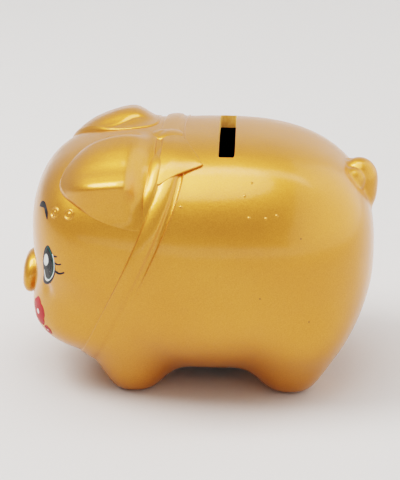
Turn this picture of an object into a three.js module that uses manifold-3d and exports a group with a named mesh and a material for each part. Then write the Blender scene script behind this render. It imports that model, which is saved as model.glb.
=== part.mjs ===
// A hollow pottery pig bank in gold lacquer, millimetres, +Z up.
// The snout faces -X, the pig's left side is -Y, and the foot pads stand on Z = 0.

import * as THREE from 'three';
import { mergeVertices } from 'three/addons/utils/BufferGeometryUtils.js';
import Module from 'manifold-3d';

const wasm = await Module();
wasm.setup();

// ---- Driving dimensions ----

const wallThickness = 4.5;
const pieceGap = 0.4;

const barrelLength = 114.4;
const barrelWidth = 96;
const barrelHeight = 87.8;
const bellyClearance = 5.2;
const barrelBulgeLengthwise = 2.55;
const barrelBulgeCrosswise = 2.45;

const headLength = 72;
const headWidth = 86;
const headHeight = 67;
const headForward = 31.7;
const headRise = 6.9;

const jowlLength = 56.4;
const jowlWidth = 50;
const jowlHeight = 31.8;
const jowlForward = 39;
const jowlSpread = 11;
const jowlDrop = 20.3;

const haunchLength = 30.4;
const haunchWidth = 44;
const haunchHeight = 28;
const haunchBack = 30.9;
const haunchSpread = 18;
const haunchDrop = 23.1;

const frontLegRadius = 11.6;
const frontLegForward = 29.8;
const frontLegSpread = 21;
const rearLegRadius = 12;
const rearLegBack = 26.9;
const rearLegSpread = 20.8;
const legCentreHeight = 13.5;
const legHalfHeight = 15.5;
const legRoundness = 2.2;

const headBlend = 8;
const jowlBlend = 11;
const legBlend = 11;

const slotLength = 46;
const slotWidth = 5.3;
const slotBack = 3.3;

const plugHoleRadius = 14;
const plugHoleForward = 1.5;
const plugFlangeOverlap = 2.5;
const plugFlangeThickness = 2.2;
const plugSeatDepth = 2.4;
const plugSideClearance = 0.3;
const plugDepthInside = 4;
const plugNeckGroove = 1.2;

const earThickness = 8;
const earEdgeThickness = 1.6;
const earRearEdge = 22.5;
const earFrontEdge = 55.5;
const earInnerAngle = 11;
const earOuterAngle = 69;

const snoutWidth = 20;
const snoutHeight = 14.5;
const snoutThickness = 4.2;
const snoutDrop = 10.6;
const nostrilWidth = 3.2;
const nostrilHeight = 5;
const nostrilDepth = 2.2;
const nostrilSpread = 4.4;

const scarfWidth = 8;
const scarfThickness = 1.1;
const scarfForward = 32.6;
const scarfLean = 0.44;
const scarfTopPull = 5;
const scarfCrownThinning = 0.4;
const knotLength = 11;
const knotWidth = 11;
const knotBehindEars = 3.5;
const knotAside = 6;
const knotThickness = 3.2;
const scarfEndLength = 24;
const scarfEndWidth = 17;
const scarfEndThickness = 2.7;

const tailBallRadius = 6.1;
const tailTipRadius = 2.6;
const tailHeight = 26.2;
const tailTipDrop = 11;
const tailProud = 1.6;
const tailBlend = 11;

const transferThickness = 0.3;
const eyeHeight = 17;
const eyeWidth = 12;
const eyeForward = 59.5;
const eyeSpread = 31;
const eyeRise = 2.2;
const browForward = 61;
const browSpread = 24.5;
const browRise = 21.5;
const browLength = 9;
const browWidth = 1.6;
const blossomRadius = 5.6;
const blossomDrop = 21;
const blossomSpread = 25.5;
const budRadius = 2.6;
const budDrop = 31;
const budSpread = 33;

// ---- The body's outer surface as a distance field ----

const barrelCentreZ = bellyClearance + barrelHeight / 2;

const barrel = {
  centre: [0, 0, barrelCentreZ],
  half: [barrelLength / 2, barrelWidth / 2, barrelHeight / 2],
  lengthwise: barrelBulgeLengthwise,
  crosswise: barrelBulgeCrosswise,
};

const head = {
  centre: [-headForward, 0, barrelCentreZ + headRise],
  half: [headLength / 2, headWidth / 2, headHeight / 2],
  lengthwise: 2.48,
  crosswise: 2.4,
};

const jowl = {
  centre: [-jowlForward, jowlSpread, barrelCentreZ - jowlDrop],
  half: [jowlLength / 2, jowlWidth / 2, jowlHeight / 2],
  lengthwise: 2.2,
  crosswise: 2.2,
};

const haunch = {
  centre: [haunchBack, haunchSpread, barrelCentreZ - haunchDrop],
  half: [haunchLength / 2, haunchWidth / 2, haunchHeight / 2],
  lengthwise: 2.2,
  crosswise: 2.2,
};

const frontLeg = {
  centre: [-frontLegForward, frontLegSpread, legCentreHeight],
  half: [frontLegRadius, frontLegRadius, legHalfHeight],
  lengthwise: legRoundness,
  crosswise: legRoundness,
};

const rearLeg = {
  centre: [rearLegBack, rearLegSpread, legCentreHeight],
  half: [rearLegRadius, rearLegRadius, legHalfHeight],
  lengthwise: legRoundness,
  crosswise: legRoundness,
};

// A swollen ellipsoid: 1 on its surface, less inside, more outside.
function swell(form, x, y, z) {
  const u = Math.abs((x - form.centre[0]) / form.half[0]) + 1e-9;
  const v = Math.abs((y - form.centre[1]) / form.half[1]) + 1e-9;
  const w = Math.abs((z - form.centre[2]) / form.half[2]) + 1e-9;
  const section = Math.pow(v ** form.crosswise + w ** form.crosswise, 1 / form.crosswise);
  return Math.pow(u ** form.lengthwise + section ** form.lengthwise, 1 / form.lengthwise);
}

function distanceTo(form, x, y, z) {
  const step = 1e-3;
  const here = swell(form, x, y, z);
  const slopeX = (swell(form, x + step, y, z) - here) / step;
  const slopeY = (swell(form, x, y + step, z) - here) / step;
  const slopeZ = (swell(form, x, y, z + step) - here) / step;
  return (here - 1) / Math.max(Math.hypot(slopeX, slopeY, slopeZ), 1e-6);
}

function softUnion(a, b, blend) {
  const share = Math.min(1, Math.max(0, 0.5 + (0.5 * (b - a)) / blend));
  return b + (a - b) * share - blend * share * (1 - share);
}

// Distance from the pig's skin, negative inside; both sides are alike.
function skinDistance(x, y, z) {
  const side = Math.abs(y);
  let distance = distanceTo(barrel, x, y, z);
  distance = softUnion(distance, distanceTo(head, x, y, z), headBlend);
  distance = softUnion(distance, distanceTo(jowl, x, side, z), jowlBlend);
  distance = softUnion(distance, distanceTo(haunch, x, side, z), jowlBlend);
  distance = softUnion(distance, distanceTo(frontLeg, x, side, z), legBlend);
  return softUnion(distance, distanceTo(rearLeg, x, side, z), legBlend);
}

// The chamber keeps its floor a wall above the ground inside the legs.
function chamberDistance(x, y, z) {
  return Math.max(skinDistance(x, y, z), -z) + wallThickness;
}

// The outermost point along a ray where the field holds the given level.
function lastCrossing(field, origin, direction, level, reach = 110) {
  const p = new THREE.Vector3();
  let t = reach;
  for (let i = 0; i < 60; i += 1) {
    p.copy(origin).addScaledVector(direction, t);
    const distance = field(p.x, p.y, p.z) - level;
    t -= 0.85 * distance;
    if (Math.abs(distance) < 1e-4) {
      break;
    }
  }
  return origin.clone().addScaledVector(direction, t);
}

// ---- Solids and meshes ----

function mergedBare(geometry) {
  const bare = geometry.clone();
  bare.deleteAttribute('normal');
  bare.deleteAttribute('uv');
  return mergeVertices(bare, 1e-4);
}

function toSolid(geometry) {
  const merged = mergedBare(geometry);
  const vertProperties = new Float32Array(merged.attributes.position.array);
  const triVerts = new Uint32Array(merged.index.array);
  return new wasm.Manifold(new wasm.Mesh({ numProp: 3, vertProperties, triVerts }));
}

function toGeometry(solid) {
  const mesh = solid.getMesh();
  const geometry = new THREE.BufferGeometry();
  geometry.setAttribute('position', new THREE.BufferAttribute(new Float32Array(mesh.vertProperties), 3));
  geometry.setIndex(new THREE.BufferAttribute(new Uint32Array(mesh.triVerts), 1));
  return geometry;
}

function indexedGeometry(points, triangles) {
  const geometry = new THREE.BufferGeometry();
  geometry.setFromPoints(points);
  geometry.setIndex(triangles);
  return geometry;
}

// A closed surface around a centre, one point for each direction of a sphere.
function wrappedSurface(field, centre, detail, level = 0) {
  const sphere = mergedBare(new THREE.IcosahedronGeometry(1, detail));
  const positions = sphere.attributes.position;
  const direction = new THREE.Vector3();
  for (let i = 0; i < positions.count; i += 1) {
    direction.fromBufferAttribute(positions, i).normalize();
    const p = lastCrossing(field, centre, direction, level);
    positions.setXYZ(i, p.x, p.y, p.z);
  }
  return sphere;
}

// A pad that lies on the skin. place(u, v, level) gives a point of the skin's
// offset surface; outline is a closed list of [u, v]; rise(ring, u, v) is the
// pad's thickness, with ring 0 in the middle and 1 on the outline.
function skinPad(place, outline, rings, rise, base = pieceGap) {
  const count = outline.length;
  const middle = [0, 0];
  outline.forEach(([u, v]) => {
    middle[0] += u / count;
    middle[1] += v / count;
  });
  const points = [];
  const layer = (level) => {
    const first = points.length;
    points.push(place(middle[0], middle[1], level(0, middle[0], middle[1])));
    for (let ring = 1; ring <= rings; ring += 1) {
      outline.forEach(([u, v]) => {
        const share = ring / rings;
        const pu = middle[0] + (u - middle[0]) * share;
        const pv = middle[1] + (v - middle[1]) * share;
        points.push(place(pu, pv, level(share, pu, pv)));
      });
    }
    return first;
  };
  const top = layer((share, u, v) => base + rise(share, u, v));
  const bottom = layer(() => base);
  const triangles = [];
  const at = (first, ring, i) => first + 1 + (ring - 1) * count + (i % count);
  for (let i = 0; i < count; i += 1) {
    triangles.push(top, at(top, 1, i), at(top, 1, i + 1));
    triangles.push(bottom, at(bottom, 1, i + 1), at(bottom, 1, i));
    for (let ring = 1; ring < rings; ring += 1) {
      const [a, b] = [at(top, ring, i), at(top, ring, i + 1)];
      const [c, d] = [at(top, ring + 1, i), at(top, ring + 1, i + 1)];
      triangles.push(a, c, d, a, d, b);
      const [e, f] = [at(bottom, ring, i), at(bottom, ring, i + 1)];
      const [g, h] = [at(bottom, ring + 1, i), at(bottom, ring + 1, i + 1)];
      triangles.push(e, h, g, e, f, h);
    }
    const [p, q] = [at(top, rings, i), at(top, rings, i + 1)];
    const [r, s] = [at(bottom, rings, i), at(bottom, rings, i + 1)];
    triangles.push(p, r, s, p, s, q);
  }
  return facingOut(indexedGeometry(points, triangles));
}

// Turns a closed mesh right side out when its faces point inward.
function facingOut(geometry) {
  const p = geometry.attributes.position;
  const index = Array.from(geometry.index.array);
  const [a, b, c] = [new THREE.Vector3(), new THREE.Vector3(), new THREE.Vector3()];
  let volume = 0;
  for (let i = 0; i < index.length; i += 3) {
    a.fromBufferAttribute(p, index[i]);
    b.fromBufferAttribute(p, index[i + 1]);
    c.fromBufferAttribute(p, index[i + 2]);
    volume += a.dot(b.cross(c)) / 6;
  }
  if (volume < 0) {
    for (let i = 0; i < index.length; i += 3) {
      [index[i + 1], index[i + 2]] = [index[i + 2], index[i + 1]];
    }
    geometry.setIndex(index);
  }
  return geometry;
}

function roundedOutline(corners, count) {
  const curve = new THREE.CatmullRomCurve3(
    corners.map(([u, v]) => new THREE.Vector3(u, v, 0)),
    true,
    'centripetal',
  );
  return curve.getSpacedPoints(count).slice(0, count).map((p) => [p.x, p.y]);
}

function ovalOutline(width, height, count) {
  return Array.from({ length: count }, (_, i) => {
    const turn = (2 * Math.PI * i) / count;
    return [(width / 2) * Math.cos(turn), (height / 2) * Math.sin(turn)];
  });
}

// ---- Ways of placing points on the skin ----

// Around the head's long axis: x along the pig, turn in degrees from straight up.
function placeAround(side) {
  return (x, turn, level) => {
    const angle = THREE.MathUtils.degToRad(turn);
    const origin = new THREE.Vector3(x, 0, head.centre[2]);
    const direction = new THREE.Vector3(0, side * Math.sin(angle), Math.cos(angle));
    return lastCrossing(skinDistance, origin, direction, level);
  };
}

// Looking at the face from a point in front of it, u across and v up.
function placeFacing(target) {
  const aim = new THREE.Vector3(...target);
  const eyePoint = new THREE.Vector3(head.centre[0], 0, barrelCentreZ);
  const outward = aim.clone().sub(eyePoint).normalize();
  const right = new THREE.Vector3(0, 0, 1).cross(outward).normalize();
  const up = outward.clone().cross(right).normalize();
  return (u, v, level) => {
    const through = aim.clone().addScaledVector(right, u).addScaledVector(up, v);
    return lastCrossing(skinDistance, eyePoint, through.sub(eyePoint).normalize(), level);
  };
}

// ---- Pieces ----

const gold = { color: 0xcfa04a, roughness: 0.3, metalness: 0.75 };
const softPlug = { color: 0xe9e4d6, roughness: 0.6, metalness: 0 };
const inkBlack = { color: 0x23262a, roughness: 0.35, metalness: 0 };
const inkRed = { color: 0xc8323a, roughness: 0.35, metalness: 0 };

function namedMesh(name, geometry, finish) {
  const flat = geometry.index ? geometry : mergeVertices(geometry);
  flat.computeVertexNormals();
  const mesh = new THREE.Mesh(flat, new THREE.MeshStandardMaterial(finish));
  mesh.name = name;
  return mesh;
}

const skinDetail = 11;
const chamberDetail = 6;
const core = new THREE.Vector3(0, 0, barrelCentreZ - 4);
const skinTopZ = barrelCentreZ + barrelHeight / 2;

function bodyOutside() {
  return toSolid(wrappedSurface(skinDistance, core, skinDetail));
}

function bodyInside() {
  return toSolid(wrappedSurface(chamberDistance, core, chamberDetail));
}

function slotCutter() {
  const depth = 3 * wallThickness + earThickness;
  const cutter = new THREE.BoxGeometry(slotWidth, slotLength, 2 * depth);
  return toSolid(cutter.translate(slotBack, 0, skinTopZ));
}

function groundCutter() {
  const reach = 4 * barrelLength;
  return toSolid(new THREE.BoxGeometry(reach, reach, reach).translate(0, 0, -reach / 2));
}

const plugSeatZ = bellyClearance + plugSeatDepth;
const plugFlangeRadius = plugHoleRadius + plugFlangeOverlap;

function uprightDisc(radius, low, high, sides) {
  const disc = new THREE.CylinderGeometry(radius, radius, high - low, sides);
  disc.rotateX(Math.PI / 2);
  return toSolid(disc.translate(-plugHoleForward, 0, (low + high) / 2));
}

function bodyShell() {
  const hole = uprightDisc(plugHoleRadius, -1, plugSeatZ + 4 * wallThickness, 48);
  const seat = uprightDisc(plugFlangeRadius + 2 * plugSideClearance, -1, plugSeatZ, 48);
  const shell = bodyOutside()
    .subtract(groundCutter())
    .subtract(bodyInside())
    .subtract(slotCutter())
    .subtract(hole)
    .subtract(seat);
  return namedMesh('body_shell', toGeometry(shell), gold);
}

// A soft plug: a flange in the seat, a neck in the hole and a bead above the wall.
function stopper() {
  const top = plugSeatZ - pieceGap;
  const low = top - plugFlangeThickness;
  const neck = plugHoleRadius - plugSideClearance;
  const beadLow = plugSeatZ + wallThickness;
  const beadHigh = beadLow + plugDepthInside;
  const edge = plugFlangeThickness / 3;
  const profile = [
    [0, low + 1.2],
    [4, low + 1.2],
    [5, low],
    [plugFlangeRadius - edge, low],
    [plugFlangeRadius, low + edge],
    [plugFlangeRadius, top - edge / 2],
    [plugFlangeRadius - edge / 2, top],
    [neck - plugNeckGroove, top],
    [neck - plugNeckGroove, beadLow - 0.6],
    [neck, beadLow + 0.6],
    [neck, beadLow + 1.8],
    [neck - 1.5, beadHigh],
    [neck - 3.5, beadHigh],
    [neck - 4, top + 0.6],
    [0, top + 0.6],
  ];
  const lathe = new THREE.LatheGeometry(profile.map(([r, z]) => new THREE.Vector2(r, z)), 28);
  lathe.rotateX(Math.PI / 2);
  lathe.translate(-plugHoleForward, 0, 0);
  return namedMesh('stopper', toGeometry(toSolid(facingOut(mergedBare(lathe)))), softPlug);
}

// Degrees round the head's axis for a length along the skin at the crown.
function crownTurn(length) {
  return THREE.MathUtils.radToDeg(length / (skinTopZ - head.centre[2]));
}

// Ears fold forward: thickest along a ridge low on the side, thin at the crown.
// A margin grows the ear all round, for cutting its neighbours back.
function earPad(side, margin) {
  const [rear, front] = [-earRearEdge + margin, -earFrontEdge - margin];
  const long = front - rear;
  const [inner, outer] = [earInnerAngle - crownTurn(margin), earOuterAngle + crownTurn(margin)];
  const swing = outer - inner;
  const corners = [
    [rear + 0.08 * long, inner + 0.02 * swing],
    [rear, inner + 0.3 * swing],
    [rear - 0.02 * long, inner + 0.65 * swing],
    [rear + 0.08 * long, outer],
    [rear + 0.5 * long, inner + 0.98 * swing],
    [rear + 0.88 * long, inner + 0.78 * swing],
    [front, inner + 0.56 * swing],
    [rear + 0.86 * long, inner + 0.28 * swing],
    [rear + 0.5 * long, inner],
  ];
  const ridge = inner + 0.75 * swing;
  const rise = (share, x, turn) => {
    const crown = 1 - 1.3 * Math.min(0.75, Math.abs(turn - ridge) / swing);
    const rim = 1 - share ** 3.2;
    return earEdgeThickness + (earThickness - earEdgeThickness) * rim * crown + 2 * margin;
  };
  return toSolid(skinPad(placeAround(side), roundedOutline(corners, 24), 5, rise, pieceGap - margin));
}

function ear(name, side) {
  return namedMesh(name, toGeometry(earPad(side, 0).subtract(scarfClearance())), gold);
}

function snout() {
  const target = [-headForward - headLength / 2, 0, barrelCentreZ - snoutDrop];
  const place = placeFacing(target);
  const rise = (share) => snoutThickness * (0.55 + 0.45 * Math.sqrt(1 - share ** 4));
  let solid = toSolid(skinPad(place, ovalOutline(snoutWidth, snoutHeight, 28), 4, rise));
  [-1, 1].forEach((side) => {
    const pit = new THREE.SphereGeometry(0.5, 12, 8);
    pit.scale(2 * nostrilDepth, nostrilWidth, nostrilHeight);
    const mouth = place(side * nostrilSpread, 0, pieceGap + snoutThickness);
    pit.translate(mouth.x, mouth.y, mouth.z);
    solid = solid.subtract(toSolid(pit));
  });
  return namedMesh('snout', toGeometry(solid), gold);
}

// The neckerchief lies in a leaning plane round the neck. Its section is swept
// round the pig, grown on every side by a margin.
function scarfRing(margin, steps) {
  const width = scarfWidth + 2 * margin;
  const section = [
    [-0.5, 0],
    [-0.5, 0.6],
    [-0.4, 1],
    [0.4, 1],
    [0.5, 0.6],
    [0.5, 0],
    [0, 0],
  ];
  const points = [];
  for (let i = 0; i < steps; i += 1) {
    const angle = (2 * Math.PI * i) / steps;
    const crown = Math.max(0, Math.cos(angle)) ** 6;
    const low = pieceGap - 3 * margin;
    const high = pieceGap + scarfThickness * (1 - scarfCrownThinning * crown) + margin;
    section.forEach(([across, up]) => {
      const x = -scarfForward - scarfTopPull * crown + across * width;
      const origin = new THREE.Vector3(x, 0, barrelCentreZ - 5);
      const direction = new THREE.Vector3(scarfLean * Math.cos(angle), Math.sin(angle), Math.cos(angle));
      points.push(lastCrossing(skinDistance, origin, direction.normalize(), low + up * (high - low)));
    });
  }
  const size = section.length;
  const triangles = [];
  for (let i = 0; i < steps; i += 1) {
    for (let k = 0; k < size; k += 1) {
      const a = i * size + k;
      const b = i * size + ((k + 1) % size);
      const c = ((i + 1) % steps) * size + k;
      const d = ((i + 1) % steps) * size + ((k + 1) % size);
      triangles.push(a, c, d, a, d, b);
    }
  }
  return facingOut(indexedGeometry(points, triangles));
}

const scarfSteps = 60;

function scarfBand() {
  return namedMesh('scarf_band', scarfRing(0, scarfSteps), gold);
}

// The same ring grown by the gap, which the knot and the ends are cut back from.
function scarfClearance() {
  return toSolid(scarfRing(pieceGap, scarfSteps));
}

const knotForward = earRearEdge - knotBehindEars;

// The knot and the loose end lie over the band and behind the left ear.
function clearOfNeighbours(solid) {
  return solid.subtract(scarfClearance()).subtract(earPad(-1, pieceGap));
}

function scarfKnot() {
  const outline = ovalOutline(knotLength, knotWidth, 20).map(([along, across]) => [
    along - knotForward,
    crownTurn(knotAside + across),
  ]);
  const rise = (share) => knotThickness * Math.sqrt(1 - 0.6 * share ** 2.5);
  const pad = toSolid(skinPad(placeAround(-1), outline, 4, rise));
  return namedMesh('scarf_knot', toGeometry(clearOfNeighbours(pad)), gold);
}

// A cloth corner that spreads from the knot down and back over the band.
function scarfEnd() {
  const start = crownTurn(knotAside + knotWidth / 2 + 2 * pieceGap);
  const reach = crownTurn(scarfEndLength);
  const corners = [
    [-0.04, 0.02],
    [-0.1, 0.3],
    [-0.12, 0.6],
    [-0.14, 0.9],
    [-0.04, 0.93],
    [0.34, 0.8],
    [0.78, 0.6],
    [0.74, 0.5],
    [0.52, 0.3],
    [0.3, 0.14],
    [0.16, 0.02],
  ].map(([along, down]) => [along * scarfEndWidth - knotForward, start + down * reach]);
  const rise = (share) => scarfEndThickness - 0.4 * share ** 4;
  const pad = toSolid(skinPad(placeAround(-1), roundedOutline(corners, 22), 4, rise));
  return namedMesh('scarf_end', toGeometry(clearOfNeighbours(pad)), gold);
}

function tail() {
  const rump = lastCrossing(
    skinDistance,
    new THREE.Vector3(0, 0, barrelCentreZ + tailHeight),
    new THREE.Vector3(1, 0, 0),
    0,
  );
  const ballCentre = [rump.x + tailProud, 0, rump.z];
  const foot = lastCrossing(
    skinDistance,
    new THREE.Vector3(0, 0, rump.z - tailTipDrop),
    new THREE.Vector3(1, 0, 0),
    0,
  );
  const tipCentre = [foot.x, 0, foot.z];
  const ball = { centre: ballCentre, half: Array(3).fill(tailBallRadius), lengthwise: 2, crosswise: 2 };
  const tip = { centre: tipCentre, half: Array(3).fill(tailTipRadius), lengthwise: 2, crosswise: 2 };
  const field = (x, y, z) => softUnion(distanceTo(ball, x, y, z), distanceTo(tip, x, y, z), tailBlend);
  const lump = toSolid(wrappedSurface(field, new THREE.Vector3(...ballCentre), 4));
  const skin = toSolid(wrappedSurface(skinDistance, core, skinDetail, pieceGap));
  return namedMesh('tail', toGeometry(lump.subtract(skin)), gold);
}

// Fired-on transfers, thin as a coat of ink.
function eye(name, side) {
  const place = placeFacing([-eyeForward, side * eyeSpread, barrelCentreZ + eyeRise]);
  const pad = skinPad(place, ovalOutline(eyeWidth, eyeHeight, 20), 3, () => transferThickness);
  return namedMesh(name, pad, inkBlack);
}

function brow(name, side) {
  const place = placeFacing([-browForward, side * browSpread, barrelCentreZ + browRise]);
  const corners = [
    [-browLength / 2, -browWidth * 0.4],
    [0, browWidth * 0.6],
    [browLength / 2, -browWidth * 0.4],
    [browLength / 2, -browWidth * 0.7],
    [0, -browWidth * 0.4],
    [-browLength / 2, -browWidth * 0.7],
  ];
  const pad = skinPad(place, roundedOutline(corners, 18), 2, () => transferThickness);
  return namedMesh(name, pad, inkBlack);
}

// Five-petalled blossoms of one colour follow the chin, a large and a small one a side.
function blossom(name, size, across, drop) {
  const place = placeFacing([-headForward - headLength / 2, across, barrelCentreZ - drop]);
  const petals = 5;
  const points = 30;
  const outline = Array.from({ length: points }, (_, i) => {
    const turn = (2 * Math.PI * i) / points;
    const radius = size * (0.82 + 0.18 * Math.cos(petals * turn));
    return [radius * Math.sin(turn), radius * Math.cos(turn)];
  });
  const pad = skinPad(place, outline, 2, () => transferThickness);
  return namedMesh(name, pad, inkRed);
}

function build() {
  const pig = new THREE.Group();
  pig.add(bodyShell());
  pig.add(stopper());
  pig.add(snout());
  pig.add(tail());
  pig.add(scarfBand());
  pig.add(scarfKnot());
  pig.add(scarfEnd());
  [['left', -1], ['right', 1]].forEach(([hand, side]) => {
    pig.add(ear(`ear_${hand}`, side));
    pig.add(eye(`eye_${hand}`, side));
    pig.add(brow(`brow_${hand}`, side));
    pig.add(blossom(`blossom_${hand}`, blossomRadius, side * blossomSpread, blossomDrop));
    pig.add(blossom(`bud_${hand}`, budRadius, side * budSpread, budDrop));
  });
  // The origin sits under the middle of the whole pig.
  const box = new THREE.Box3().setFromObject(pig);
  pig.position.x = -(box.min.x + box.max.x) / 2;
  return pig;
}

export default build();
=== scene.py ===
from math import cos, degrees, pi, radians, sin

import bpy
import numpy as np
from mathutils import Matrix, Vector


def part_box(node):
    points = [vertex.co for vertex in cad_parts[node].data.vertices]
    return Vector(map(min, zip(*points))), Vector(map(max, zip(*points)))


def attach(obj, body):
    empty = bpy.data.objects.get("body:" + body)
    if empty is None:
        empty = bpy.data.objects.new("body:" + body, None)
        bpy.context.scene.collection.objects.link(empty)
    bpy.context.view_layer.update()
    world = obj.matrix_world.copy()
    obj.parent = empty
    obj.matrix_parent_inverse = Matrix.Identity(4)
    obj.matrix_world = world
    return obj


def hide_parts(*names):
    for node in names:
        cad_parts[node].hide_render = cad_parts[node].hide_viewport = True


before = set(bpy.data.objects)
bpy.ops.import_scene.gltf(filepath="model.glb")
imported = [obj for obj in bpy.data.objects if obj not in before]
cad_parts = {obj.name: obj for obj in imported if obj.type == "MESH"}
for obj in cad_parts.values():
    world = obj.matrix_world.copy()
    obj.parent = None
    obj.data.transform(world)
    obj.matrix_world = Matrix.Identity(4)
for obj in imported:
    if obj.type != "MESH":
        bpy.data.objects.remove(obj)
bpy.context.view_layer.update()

mm = 0.001

# The pig is worked out in millimetres about its own middle, which the stopper gives.
stopperLow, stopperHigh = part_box("stopper")
pigMiddle = {"stopperForward": 1.5}
pigShift = np.array([(stopperLow.x + stopperHigh.x) / 2 / mm + pigMiddle["stopperForward"], 0, 0])


def clearSelection():
    if bpy.context.object and bpy.context.object.mode != "OBJECT":
        bpy.ops.object.mode_set(mode="OBJECT")
    bpy.ops.object.select_all(action="DESELECT")


def pickOnly(obj):
    clearSelection()
    obj.select_set(True)
    bpy.context.view_layer.objects.active = obj


def nameNew(name):
    obj = bpy.context.object
    obj.name = name
    obj.data.name = name
    return obj


def rawPoints(obj):
    points = np.zeros(len(obj.data.vertices) * 3)
    obj.data.vertices.foreach_get("co", points)
    return points.reshape(-1, 3)


def readPoints(obj):
    return rawPoints(obj) / mm - pigShift


def writePoints(obj, points):
    obj.data.vertices.foreach_set("co", ((points + pigShift) * mm).ravel())
    obj.data.update()


def faceOutwards(obj):
    pickOnly(obj)
    bpy.ops.object.mode_set(mode="EDIT")
    bpy.ops.mesh.select_all(action="SELECT")
    bpy.ops.mesh.normals_make_consistent(inside=False)
    bpy.ops.object.mode_set(mode="OBJECT")


def smoothByAngle(obj, degreesOfEdge=40):
    pickOnly(obj)
    bpy.ops.object.shade_smooth_by_angle(angle=radians(degreesOfEdge))


def applyModifier(obj, kind, **settings):
    pickOnly(obj)
    bpy.ops.object.modifier_add(type=kind)
    modifier = obj.modifiers[-1]
    for key, value in settings.items():
        setattr(modifier, key, value)
    bpy.ops.object.modifier_apply(modifier=modifier.name)


def mirrored(obj, name):
    twin = obj.copy()
    twin.data = obj.data.copy()
    twin.name = name
    twin.data.name = name
    bpy.context.scene.collection.objects.link(twin)
    twin.data.transform(Matrix.Scale(-1, 4, (0, 1, 0)))
    twin.data.flip_normals()
    return twin


# The pig's skin: swollen ovals blended into one another. Jowl, haunch and legs count for both sides.
def swelling(centre, half, lengthwise=2.2, crosswise=2.2):
    return {"centre": centre, "half": half, "lengthwise": lengthwise, "crosswise": crosswise}


skinForms = {
    "barrel": swelling((0, 0, 49.1), (57.2, 48, 43.9), 2.55, 2.45),
    "head": swelling((-31.7, 0, 56), (36, 43, 33.5), 2.48, 2.4),
    "jowl": swelling((-39, 11, 28.8), (28.2, 25, 15.9)),
    "haunch": swelling((30.9, 18, 26), (15.2, 22, 14)),
    "frontLeg": swelling((-29.8, 21, 13.5), (11.6, 11.6, 15.5)),
    "rearLeg": swelling((26.9, 20.8, 13.5), (12, 12, 15.5)),
}
skinBlends = {"head": 8, "jowl": 11, "haunch": 11, "frontLeg": 11, "rearLeg": 11}
headAxis = np.array(skinForms["head"]["centre"])
bodyCore = np.array([0, 0, 45.1])
faceCore = np.array([-31.7, 0, 49.1])


def distanceTo(form, x, y, z):
    (a, b, c), (px, py, pz) = form["half"], form["centre"]
    m, n = form["lengthwise"], form["crosswise"]
    u = np.abs(x - px) / a + 1e-9
    v = np.abs(y - py) / b + 1e-9
    w = np.abs(z - pz) / c + 1e-9
    section = (v**n + w**n) ** (1 / n)
    height = (u**m + section**m) ** (1 / m)
    slopeU = (u / height) ** (m - 1)
    slopeS = (section / height) ** (m - 1)
    slopeV = slopeS * (v / section) ** (n - 1)
    slopeW = slopeS * (w / section) ** (n - 1)
    return (height - 1) / np.sqrt((slopeU / a) ** 2 + (slopeV / b) ** 2 + (slopeW / c) ** 2)


def softUnion(a, b, blend):
    share = np.clip(0.5 + 0.5 * (b - a) / blend, 0, 1)
    return b + (a - b) * share - blend * share * (1 - share)


def skinDistance(points):
    x, side, z = points[:, 0], np.abs(points[:, 1]), points[:, 2]
    distance = distanceTo(skinForms["barrel"], x, side, z)
    for name, blend in skinBlends.items():
        distance = softUnion(distance, distanceTo(skinForms[name], x, side, z), blend)
    return distance


rayWalk = {"from": 110.0, "rounds": 60, "share": 0.85}


# Walks along each ray from far out until the field holds the wanted level.
def alongRays(field, origins, directions, levels, start=rayWalk["from"], rounds=rayWalk["rounds"]):
    far = np.full(len(directions), start) if np.isscalar(start) else start.copy()
    for _ in range(rounds):
        far -= rayWalk["share"] * (field(origins + directions * far[:, None]) - levels)
    return origins + directions * far[:, None]


def unit(vectors):
    return vectors / np.linalg.norm(vectors, axis=-1, keepdims=True)


# x along the pig and a turn in degrees from straight up round the head's axis, on the left side.
def placeAround(x, turn, level):
    angle = np.radians(turn)
    origins = np.stack([x, np.zeros_like(x), np.full_like(x, headAxis[2])], 1)
    directions = np.stack([np.zeros_like(x), -np.sin(angle), np.cos(angle)], 1)
    return alongRays(skinDistance, origins, directions, level)


# Outward, right and up at a point of the face, as seen from in front of it.
def faceAxes(aim):
    outward = unit(aim - faceCore)
    right = unit(np.cross([0, 0, 1], outward))
    return outward, right, np.cross(outward, right)


# Lays a flat pattern on the face: u across and v up about an aim point.
def placeFacing(aim):
    aim = np.array(aim, float)
    _, right, up = faceAxes(aim)

    def place(u, v, level):
        through = aim + u[:, None] * right + v[:, None] * up
        directions = unit(through - faceCore)
        return alongRays(skinDistance, np.tile(faceCore, (len(u), 1)), directions, level)

    return place


def smoothStep(low, high, value):
    share = np.clip((value - low) / (high - low), 0, 1)
    return share * share * (3 - 2 * share)


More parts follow.
